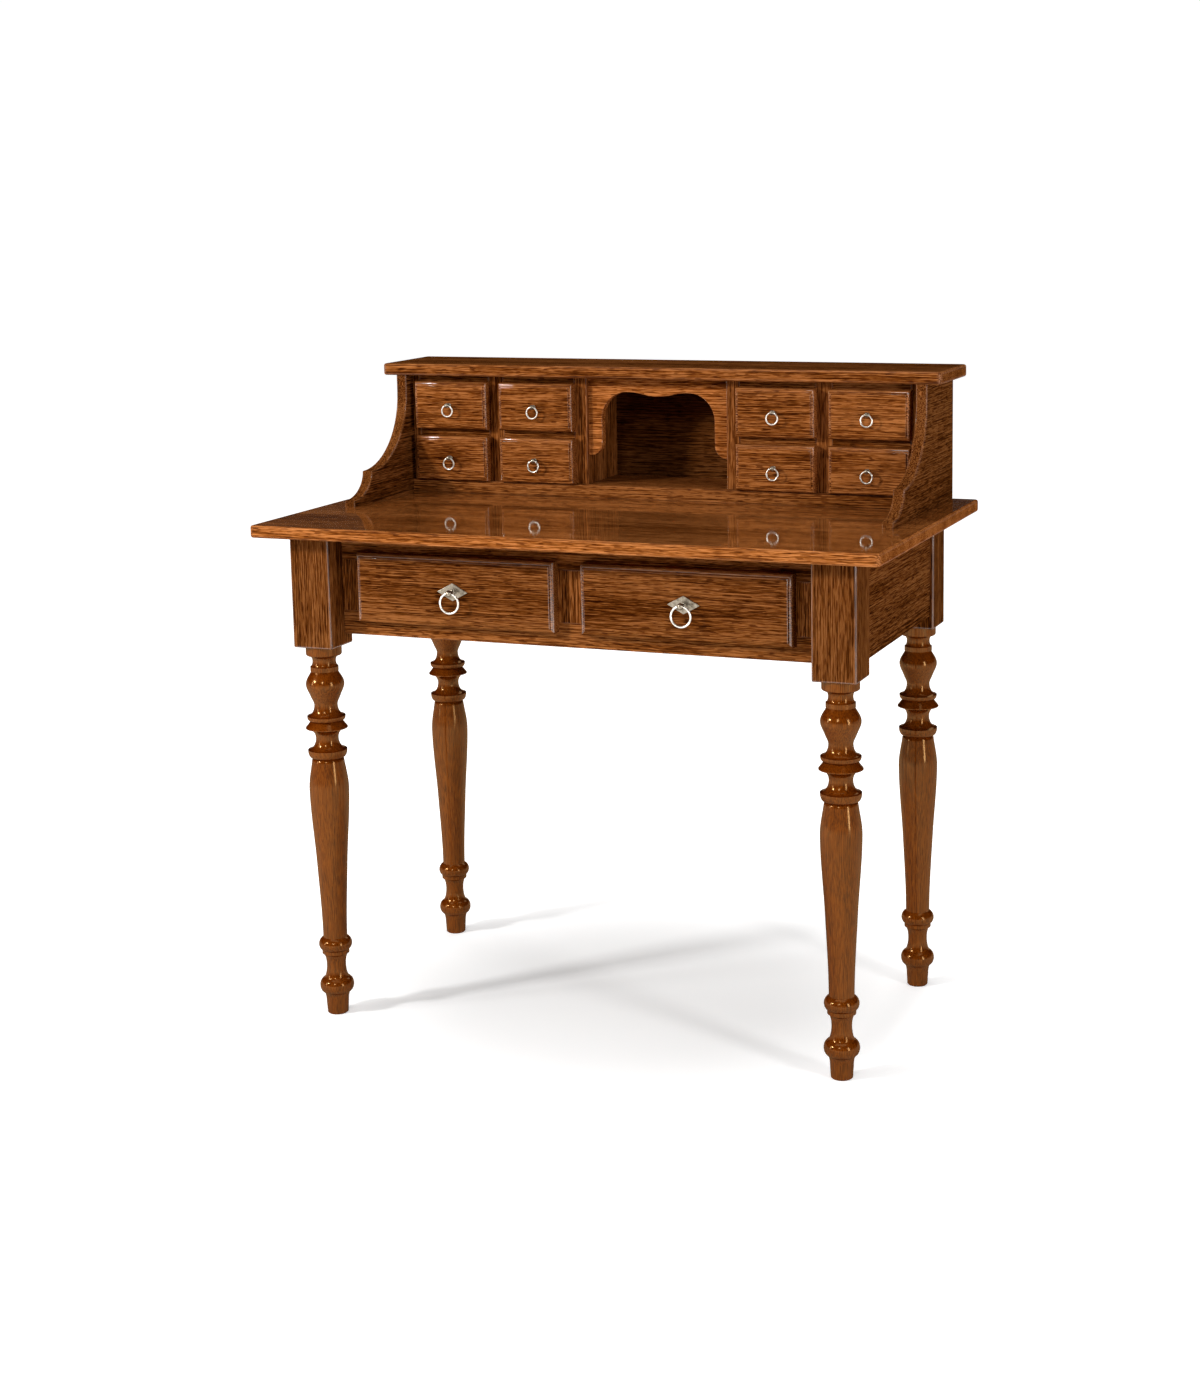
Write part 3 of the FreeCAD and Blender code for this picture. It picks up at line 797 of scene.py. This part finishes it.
@dataclass
class TurnedLeg(Assembly):
    """A leg with a square block above and a turning below."""

    block_edge: float = 2.5
    block_length: float = 173.0
    steps: int = 56
    vase_fineness: int = 18
    bulb_fineness: int = 10
    foot: tuple[Member, ...] = (
        Member(Bend.STRAIGHT, 0.0, 14.7),
        Member(Bend.STRAIGHT, 1.5, 16.2),
        Member(Bend.STRAIGHT, 16.5, 17.2),
        Member(Bend.UPRIGHT, 17.0, 21.8),
        Member(Bend.BEAD, 21.5, 21.8, crest=26.4),
        Member(Bend.LEVEL, 22.0, 14.9),
        Member(Bend.UPRIGHT, 19.0, 21.0),
        Member(Bend.STRAIGHT, 5.5, 21.0),
        Member(Bend.BEAD, 21.0, 18.7, crest=25.8),
    )
    vase_waist_radius: float = 23.6
    vase_radius: float = 30.5
    vase_shoulder_drop: float = 46.0
    vase_top_radius: float = 24.6
    rings: tuple[Member, ...] = (
        Member(Bend.STRAIGHT, 1.75, 23.2),
        Member(Bend.STRAIGHT, 1.75, 24.6),
        Member(Bend.LEVEL, 11.3, 30.1),
        Member(Bend.STRAIGHT, 1.2, 30.1),
        Member(Bend.LEVEL, 18.0, 17.4),
        Member(Bend.UPRIGHT, 15.8, 32.2),
        Member(Bend.STRAIGHT, 1.2, 32.2),
        Member(Bend.STRAIGHT, 10.0, 24.2),
        Member(Bend.LEVEL, 6.8, 29.4),
        Member(Bend.STRAIGHT, 1.2, 29.4),
        Member(Bend.LEVEL, 17.0, 17.9),
    )
    bulb: tuple[Point, ...] = ((22.9, 14.0), (29.4, 34.0), (20.3, 53.5))
    collar: tuple[Member, ...] = (
        Member(Bend.STRAIGHT, 0.0, 21.5),
        Member(Bend.STRAIGHT, 7.0, 21.5),
        Member(Bend.LEVEL, 8.75, 17.9),
        Member(Bend.UPRIGHT, 8.75, 24.5),
        Member(Bend.LEVEL, 3.0, 27.5),
        Member(Bend.STRAIGHT, 15.0, 27.5),
    )

    def turning(self, head: float) -> Outline:
        """Half outline of the turning, from the floor into the block.

        Args:
            head: Height of its upper end.

        Returns:
            The outline as radius and height.
        """
        pen = Outline(0.0, 0.0)
        vase_low = pen.stack(self.foot, 0.0)
        bulb_rise = self.bulb[-1][1]
        vase_top = head - bulb_rise - sum(member.rise for member in self.rings + self.collar)
        shoulder = vase_top - self.vase_shoulder_drop
        pen.fineness = self.vase_fineness
        pen.flow([(self.vase_waist_radius, (vase_low + shoulder) / 2), (self.vase_radius, shoulder),
                  (self.vase_top_radius, vase_top)])
        pen.fineness = FINENESS
        level = pen.stack(self.rings, vase_top)
        pen.fineness = self.bulb_fineness
        pen.flow([(radius, level + rise) for radius, rise in self.bulb])
        pen.fineness = FINENESS
        pen.line(0.0, pen.stack(self.collar, level + bulb_rise))
        return pen

    def build(self, node: str) -> None:
        """Builds one leg.

        Args:
            node: CAD node that it replaces.
        """
        low, high = extent(node)
        centre = Vector(((low.x + high.x) / 2, (low.y + high.y) / 2, 0.0))
        bottom = high.z - self.block_length
        mould = Mould()
        mould.board((low.x, low.y, bottom), high)
        eased = mould.where(lambda a, b: min(a.z, b.z) < bottom + NEAR)
        mould.soften(eased, self.block_edge)
        self.put(mould, "block_of_" + node, Finish.BLOCK, ROOT, node)
        mould = Mould()
        mould.turn(self.turning(bottom + self.block_edge).points, centre, ALONG_Z, ALONG_X, self.steps)
        self.put(mould, "turning_of_" + node, Finish.TURNING, ROOT, node)


@dataclass
class RailFrame(Assembly):
    """Rails and stiles between the legs, with the runners behind them."""

    ease: float = 1.2
    stile_ease: float = 0.6
    drawer_fit: float = 1.0

    def build(self) -> None:
        """Builds the front frame and gives the other rails and the runners their finish."""
        low, high = extent("front_rails")
        stile_low, stile_high = extent("front_stiles")
        mould = Mould()
        mould.soft_board((stile_low.x, low.y, stile_high.z), (stile_high.x, high.y, high.z), self.ease)
        mould.soft_board((stile_low.x, low.y, low.z), (stile_high.x, high.y, stile_low.z), self.ease)
        self.put(mould, "front_rail_pair", Finish.RAIL, ROOT, "front_rails")
        drawer_low, drawer_high = extent("drawer_right_box")
        inside, outside = drawer_low.x - self.drawer_fit, drawer_high.x + self.drawer_fit
        mould = Mould()
        for x0, x1 in ((stile_low.x, -outside), (-inside, inside), (outside, stile_high.x)):
            mould.soft_board((x0, low.y, stile_low.z), (x1, high.y, stile_high.z), self.stile_ease)
        self.put(mould, "front_stile_set", Finish.STILE, ROOT, "front_stiles")
        self.keep("side_rails", Finish.SIDE)
        self.keep("back_rail", Finish.RAIL)
        self.keep("drawer_runners", Finish.BOX)


@dataclass
class UpperCase(Assembly):
    """The low case along the back: curved sides, dividers, shelves, apron and back."""

    panel_edge: float = 2.4
    panel_straight: float = 27.0
    panel_depth: float = 156.0
    panel_fineness: int = 14
    cusp_reach: float = 60.0
    cusp_height: float = 50.0
    toe_height: float = 10.0
    plug_radius: float = 3.5
    plug_proud: float = 0.4
    plug_fineness: int = 4
    plug_steps: int = 20
    divider_edge: float = 1.2
    liner: float = 14.0
    apron_edge: float = 1.0
    arch_leg: float = 23.0
    arch_lobe: float = 21.0
    arch_straight: float = 38.5
    arch_shoulder: float = 44.0
    arch_crown_drop: float = 23.5
    arch_dip: float = 6.5
    arch_fineness: int = 12

    def side(self, node: str, mirrored: bool) -> None:
        """Builds one curved side panel.

        Args:
            node: CAD node that it replaces.
            mirrored: True for the left panel.
        """
        low, high = extent("case_side_right")
        front = high.y - self.panel_depth
        pen = Outline(high.y, low.z, self.panel_fineness)
        pen.line(high.y, high.z)
        pen.line(front, high.z)
        pen.line(front, high.z - self.panel_straight)
        pen.quarter(low.y + self.cusp_reach, low.z + self.cusp_height, True)
        pen.quarter(low.y, low.z + self.toe_height, True)
        pen.line(low.y, low.z)
        mould = Mould()
        mould.slab(pen.points, lambda p: Vector((low.x, p.x, p.y)), Vector((high.x - low.x, 0.0, 0.0)))
        eased = mould.where(lambda a, b: abs(a.x - b.x) < SAME and min(a.y, b.y) < high.y - NEAR
                            and max(a.z, b.z) > low.z + NEAR and min(a.z, b.z) < high.z - NEAR)
        mould.soften(eased, self.panel_edge)
        if mirrored:
            mould.mirror()
        self.put(mould, "curved_" + node, Finish.SIDE, ROOT, node)

    def plugs(self) -> None:
        """Builds the two round plugs in the panels' front edges."""
        low, high = extent("case_plugs")
        mould = Mould()
        for x in (low.x + self.plug_radius, high.x - self.plug_radius):
            pen = Outline(0.0, 0.0, self.plug_fineness)
            pen.quarter(self.plug_radius, self.plug_proud, False)
            pen.line(self.plug_radius, high.y - low.y)
            pen.line(0.0, high.y - low.y)
            centre = Vector((x, low.y, (low.z + high.z) / 2))
            mould.turn(pen.points, centre, ALONG_Y, ALONG_X, self.plug_steps)
        self.put(mould, "round_plugs", Finish.STILE, ROOT, "case_plugs")

    def apron(self) -> None:
        """Builds the arched board of the pigeonhole."""
        low, high = extent("arch_apron")
        edge, ceiling = high.x, high.z
        leg = edge - self.arch_leg
        crown = ceiling - self.arch_crown_drop
        spring = crown - self.arch_shoulder
        lobe = spring - self.arch_straight
        flat = leg - self.arch_shoulder
        pen = Outline(-edge, ceiling, self.arch_fineness)
        pen.line(-edge, lobe - self.arch_lobe)
        pen.quarter(-leg, lobe, False)
        pen.line(-leg, spring)
        pen.quarter(-flat, crown, True)
        pen.ogee(0.0, crown - self.arch_dip)
        pen.ogee(flat, crown)
        pen.quarter(leg, spring, False)
        pen.line(leg, lobe)
        pen.quarter(edge, lobe - self.arch_lobe, True)
        pen.line(edge, ceiling)
        mould = Mould()
        mould.slab(pen.points, lambda p: Vector((p.x, low.y, p.y)), Vector((0.0, high.y - low.y, 0.0)))
        rim = mould.where(lambda a, b: abs(a.y - b.y) < SAME and min(a.z, b.z) < ceiling - NEAR
                          and not abs(abs(a.x) - edge) + abs(abs(b.x) - edge) < 2 * SAME)
        mould.soften(rim, self.apron_edge)
        self.put(mould, "arched_apron", Finish.APRON, ROOT, "arch_apron")

    def uprights(self) -> None:
        """Builds liners, dividers and partitions with eased edges."""
        low, high = extent("case_dividers")
        inner_low, inner_high = extent("small_drawer_3_box")
        outer_low, outer_high = extent("small_drawer_4_box")
        fit = high.x - outer_high.x - self.liner
        arch_edge = extent("arch_apron")[1].x
        spans = ((arch_edge, inner_low.x - fit), (inner_high.x + fit, outer_low.x - fit),
                 (outer_high.x + fit, high.x))
        mould = Mould()
        for x0, x1 in spans:
            for near, far in ((x0, x1), (-x1, -x0)):
                mould.soft_board((near, low.y, low.z), (far, high.y, high.z), self.divider_edge)
        self.put(mould, "case_upright_set", Finish.STILE, ROOT, "case_dividers")

    def floor(self) -> None:
        """Builds the floor board with eased edges."""
        low, high = extent("case_floor")
        mould = Mould()
        mould.soft_board(low, high, self.divider_edge)
        self.put(mould, "case_floor_board", Finish.RAIL, ROOT, "case_floor")

    def build(self) -> None:
        """Builds the whole case except its drawers."""
        self.side("case_side_right", False)
        self.side("case_side_left", True)
        self.plugs()
        self.apron()
        self.uprights()
        self.floor()
        self.keep("row_shelves", Finish.RAIL)
        self.keep("case_top_rails", Finish.RAIL)
        self.keep("case_back", Finish.BACK)


@dataclass
class Drawer(Assembly):
    """A drawer with a moulded front, a plain box and a ring pull."""

    name: str
    finish: Finish
    rounding: float
    step: float
    eye_radius: float
    wire_radius: float
    post_radius: float
    shank_radius: float
    nut_width: float
    nut_thickness: float
    plate: Optional[Point] = None
    plate_thickness: float = 2.2
    plate_bevel: float = 0.8
    margin: float = 1.0
    slope_share: float = 0.35
    crest_share: float = 0.45
    rounding_steps: int = 7
    ring_gap: float = 0.3
    ring_steps: int = 48
    wire_fineness: int = 4
    eye_wall: float = 0.5
    eye_steps: int = 28
    eye_fineness: int = 12
    neck_share: float = 0.8
    foot_share: float = 1.45
    foot_height: float = 1.6
    post_steps: int = 24
    shank_tail: float = 1.4
    nut_share: float = 1.5
    nut_sides: int = 6

    def front(self) -> None:
        """Builds the front with a thumbnail moulding round a raised field."""
        low, high = extent(self.name + "_front")
        mould = Mould()
        mould.board((low.x, low.y + self.step, low.z), high)
        mould.bm.normal_update()
        mould.soften(list(mould.front_face().edges), self.rounding, self.rounding_steps)
        mould.bm.normal_update()
        raised = mould.front_face()
        for thickness, depth in ((self.margin, 0.0), (self.slope_share * self.step, self.step)):
            bmesh.ops.inset_region(mould.bm, faces=[raised], thickness=thickness, depth=depth,
                                   use_even_offset=True)
        mould.soften(list(raised.edges), self.crest_share * self.step)
        mould.bm.normal_update()
        # Painted shade: rims that look down lose the rim mark, so the under edges get no coat and no pale rim
        # colour and stay dark.
        for face in mould.bm.faces:
            if face.normal.z < DOWN:
                face[mould.rim] = 0.0
        self.put(mould, self.name + "_moulded_front", self.finish, self.name, self.name + "_front")

    def pull(self, eye: Vector) -> None:
        """Builds the post with its eye, the back plate and the nut.

        Args:
            eye: Centre of the eye.
        """
        face = extent(self.name + "_front")[0].y
        reach, tail = face - eye.y, extent(self.name + "_pull")[1].y - eye.y
        ring = self.ring_radius()
        bore = self.wire_radius + self.ring_gap + ring - math.sqrt(ring ** 2 - self.eye_radius ** 2)
        half = math.sqrt(self.eye_radius ** 2 - bore ** 2)
        mould = Mould()
        bead = Outline(bore, -half, self.eye_fineness)
        bead.bulge(self.eye_radius, bore, half)
        bead.line(bore, -half)
        mould.turn(bead.points, eye, ALONG_X, ALONG_Z, self.eye_steps)
        neck = self.neck_share * self.post_radius
        foot = reach - self.plate_thickness
        post = Outline(0.0, bore + self.eye_wall)
        post.line(neck, bore + self.eye_wall)
        post.line(neck, self.eye_radius + self.eye_wall)
        post.quarter(self.post_radius, foot - self.foot_height, True)
        post.bulge(self.foot_share * self.post_radius, self.post_radius, foot)
        post.line(self.post_radius, reach)
        post.line(self.shank_radius, reach)
        post.line(self.shank_radius, tail)
        post.line(0.0, tail)
        mould.turn(post.points, eye, ALONG_Y, ALONG_X, self.post_steps)
        if self.plate:
            self.lozenge(mould, eye, face)
        nut_place = eye + (tail - self.nut_share * self.nut_thickness - self.shank_tail) * ALONG_Y
        turned = Matrix.Translation(nut_place) @ Matrix.Rotation(math.pi / 2, 4, "X")
        corner = self.nut_width / math.sqrt(3)
        bmesh.ops.create_cone(mould.bm, cap_ends=True, segments=self.nut_sides, radius1=corner,
                              radius2=corner, depth=self.nut_thickness, matrix=turned)
        self.put(mould, self.name + "_pull_post", Finish.PLATE, self.name, self.name + "_pull")

    def lozenge(self, mould: Mould, eye: Vector, face: float) -> None:
        """Adds the lozenge back plate with a bevelled rim.

        Args:
            mould: Mesh of the pull.
            eye: Centre of the eye.
            face: Place of the drawer's face.
        """
        wide, high = self.plate[0] / 2, self.plate[1] / 2
        corners = [Vector((*at, 0)) for at in ((wide, 0), (0, high), (-wide, 0), (0, -high))]
        before = set(mould.bm.faces)
        mould.slab(corners, lambda p: Vector((eye.x + p.x, face, eye.z + p.y)),
                   Vector((0.0, -self.plate_thickness, 0.0)))
        made = [f for f in mould.bm.faces if f not in before]
        front = min(made, key=lambda f: f.calc_center_median().y)
        mould.soften(list(front.edges), self.plate_bevel, 2)

    def ring_radius(self) -> float:
        """Radius of the ring, measured to the middle of its wire."""
        low, high = extent(self.name + "_ring")
        return (high.z - low.z) / 2 - self.wire_radius

    def ring(self) -> Vector:
        """Builds the hanging ring.

        Returns:
            Centre of the eye that it hangs in.
        """
        low, high = extent(self.name + "_ring")
        centre = (low + high) / 2
        radius = self.ring_radius()
        wire = Outline(radius + self.wire_radius, 0.0, self.wire_fineness)
        for u, v, upright in ((radius, self.wire_radius, True), (radius - self.wire_radius, 0.0, False),
                              (radius, -self.wire_radius, True), (radius + self.wire_radius, 0.0, False)):
            wire.quarter(u, v, upright)
        mould = Mould()
        mould.turn(wire.points, centre, ALONG_Y, ALONG_X, self.ring_steps)
        self.put(mould, self.name + "_pull_ring", Finish.RING, self.name + "_ring_body", self.name + "_ring")
        return centre + Vector((0.0, 0.0, radius))

    def build(self) -> None:
        """Builds the whole drawer."""
        self.front()
        self.pull(self.ring())
        self.keep(self.name + "_box", Finish.BOX)


@dataclass(frozen=True)
class SoftLamp:
    """A rectangular lamp with its place, aim and size in metres and its power in watts."""

    name: str
    place: Place
    target: Place
    wide: float
    high: float
    power: float

    def hang(self) -> None:
        """Hangs the lamp and turns it to its target."""
        lamp = bpy.data.lights.new(self.name, "AREA")
        lamp.shape = "RECTANGLE"
        lamp.size, lamp.size_y, lamp.energy = self.wide, self.high, self.power
        holder = bpy.data.objects.new(self.name, lamp)
        holder.location = self.place
        aim = Vector(self.target) - Vector(self.place)
        holder.rotation_euler = aim.to_track_quat("-Z", "Y").to_euler()
        bpy.context.scene.collection.objects.link(holder)


@dataclass
class Studio:
    """Pale ground, soft lamps and the camera."""

    camera_place: Place = (1.3422, -3.2311, 1.2808)
    yaw: float = 21.371
    pitch: float = -9.362
    roll: float = -0.889
    focal_pixels: float = 2300.0
    image_height: int = 1400
    shift: Point = (-0.05, -0.10)
    sensor: float = 36.0
    ground_reach: float = 34.0
    backdrop_height: float = 4.95
    backdrop_bend: float = 0.9
    backdrop_steps: int = 12
    backdrop_sharp: float = 60.0
    world_level: float = 0.012
    lamps: tuple[SoftLamp, ...] = (
        SoftLamp("left_lamp", (-2.35, -2.30, 2.10), (0.0, -0.2, 0.65), 0.35, 0.35, 80.0),
        SoftLamp("left_softbox", (-2.90, -2.05, 1.45), (0.0, -0.2, 0.60), 0.4, 1.8, 30.0),
        SoftLamp("front_strip", (0.35, -3.90, 2.75), (0.0, -0.2, 0.65), 0.5, 1.0, 36.0),
        SoftLamp("right_softbox", (3.1, -1.55, 1.25), (0.3, -0.1, 0.6), 0.45, 2.2, 54.0),
        SoftLamp("top_softbox", (0.0, 0.1, 6.0), (0.0, 0.1, 0.0), 5.0, 5.0, 145.0),
        SoftLamp("back_softbox", (0.4, 4.6, 3.6), (0.0, 0.0, 0.6), 2.4, 1.6, 30.0),
    )

    def ground(self) -> None:
        """Lays the ground and curves it up all round into a low backdrop."""
        mould = Mould()
        reach, height = self.ground_reach / MM, self.backdrop_height / MM
        corners = ((-reach, -reach), (reach, -reach), (reach, reach), (-reach, reach))
        mould.bm.faces.new([mould.bm.verts.new((x, y, 0.0)) for x, y in corners])
        grown = bmesh.ops.extrude_edge_only(mould.bm, edges=mould.bm.edges[:])["geom"]
        raised = [v for v in grown if isinstance(v, bmesh.types.BMVert)]
        bmesh.ops.translate(mould.bm, verts=raised, vec=(0.0, 0.0, height))
        fold = [e for e in mould.bm.edges if len(e.link_faces) == 2]
        mould.soften(fold, self.backdrop_bend * height, self.backdrop_steps)
        floor = mould.cast("studio_ground", PaleGround("pale_ground").make(), self.backdrop_sharp)

    def light(self) -> None:
        """Hangs the lamps and sets the level of the surroundings."""
        for lamp in self.lamps:
            lamp.hang()
        world = bpy.data.worlds.new("studio_air")
        world.use_nodes = True
        air = world.node_tree.nodes["Background"]
        air.inputs["Color"].default_value = (1.0, 1.0, 1.0, 1.0)
        air.inputs["Strength"].default_value = self.world_level
        bpy.context.scene.world = world
        bpy.context.scene.view_settings.view_transform = "Standard"

    def look(self) -> None:
        """Sets the camera at the viewing angle of the photograph."""
        lens = bpy.data.cameras.new("desk_camera")
        lens.sensor_width = self.sensor
        lens.lens = self.focal_pixels * self.sensor / self.image_height
        lens.shift_x, lens.shift_y = self.shift
        viewer = bpy.data.objects.new("desk_camera", lens)
        viewer.location = self.camera_place
        turned = (Matrix.Rotation(math.radians(self.yaw), 3, "Z")
                  @ Matrix.Rotation(math.radians(90.0 + self.pitch), 3, "X")
                  @ Matrix.Rotation(math.radians(self.roll), 3, "Z"))
        viewer.rotation_euler = turned.to_euler()
        bpy.context.scene.collection.objects.link(viewer)
        bpy.context.scene.camera = viewer

    def build(self) -> None:
        """Builds the studio."""
        self.ground()
        self.light()
        self.look()


def main() -> None:
    """Builds the desk and its studio in order."""
    logging.basicConfig(level=logging.INFO, format="%(name)s: %(message)s")
    finishes = Finishes()
    WritingSlab(finishes).build()
    leg = TurnedLeg(finishes)
    for end in ("front", "back"):
        for side in ("left", "right"):
            leg.build("leg_%s_%s" % (end, side))
    RailFrame(finishes).build()
    UpperCase(finishes).build()
    for side in ("left", "right"):
        Drawer(finishes, "drawer_" + side, Finish.FRONT, rounding=5.0, step=2.0, eye_radius=5.0,
               wire_radius=1.6, post_radius=2.8, shank_radius=2.0, nut_width=7.0, nut_thickness=3.2,
               plate=(50.0, 27.0)).build()
    for number in range(1, SMALL_DRAWERS + 1):
        Drawer(finishes, "small_drawer_%d" % number, Finish.SMALL_FRONT, rounding=4.0, step=1.5,
               eye_radius=4.0, wire_radius=1.3, post_radius=2.3, shank_radius=1.5, nut_width=5.5,
               nut_thickness=2.4).build()
    Studio().build()


if __name__ == "__main__":
    main()
